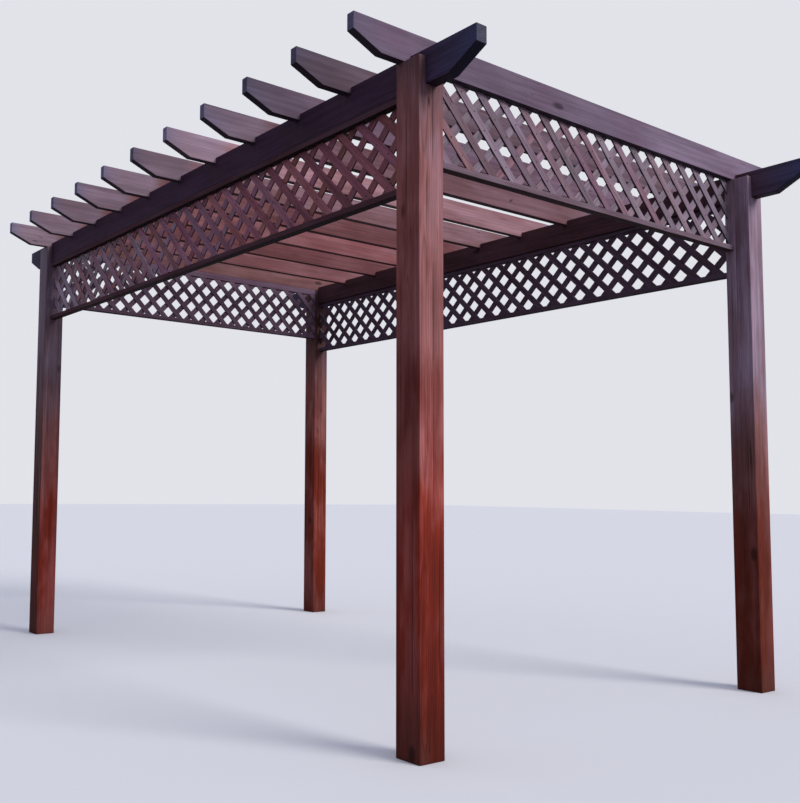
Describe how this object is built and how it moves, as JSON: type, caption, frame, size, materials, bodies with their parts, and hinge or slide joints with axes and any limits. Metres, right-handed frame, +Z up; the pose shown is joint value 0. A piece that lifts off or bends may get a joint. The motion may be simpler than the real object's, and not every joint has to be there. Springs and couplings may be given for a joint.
{
  "type": "garden pergola",
  "caption": "Open timber pergola: square posts, side beams in forked post heads, notched rafters with shaped tails and a band of diagonal lattice under each side of the roof.",
  "frame": {"origin": "on the ground under the middle of the roof, at the middle of the bounding box", "axes": "+X along the rafters, +Y along the side beams from front to back, +Z up"},
  "size_m": [3.52, 5.03, 3.265],
  "materials": {
    "posts": "red brown stain, matt",
    "beams": "near black brown stain, matt",
    "rafters": "mauve brown stain, weathered",
    "lattice": "mauve brown stain, weathered",
    "rails": "dark brown stain, weathered"
  },
  "bodies": {
    "root": {"post_front_left": "posts", "post_front_right": "posts", "post_back_left": "posts", "post_back_right": "posts", "beam_left": "beams", "beam_right": "beams", "header_front": "rafters", "rafter_2": "rafters", "rafter_3": "rafters", "rafter_4": "rafters", "rafter_5": "rafters", "rafter_6": "rafters", "rafter_7": "rafters", "rafter_8": "rafters", "rafter_9": "rafters", "rafter_10": "rafters", "header_back": "rafters", "lattice_front": "lattice", "bottom_rail_front": "rails", "top_rail_back": "rails", "lattice_back": "lattice", "bottom_rail_back": "rails", "top_rail_left": "rails", "lattice_left": "lattice", "bottom_rail_left": "rails", "top_rail_right": "rails", "lattice_right": "lattice", "bottom_rail_right": "rails"}
  },
  "joints": []
}
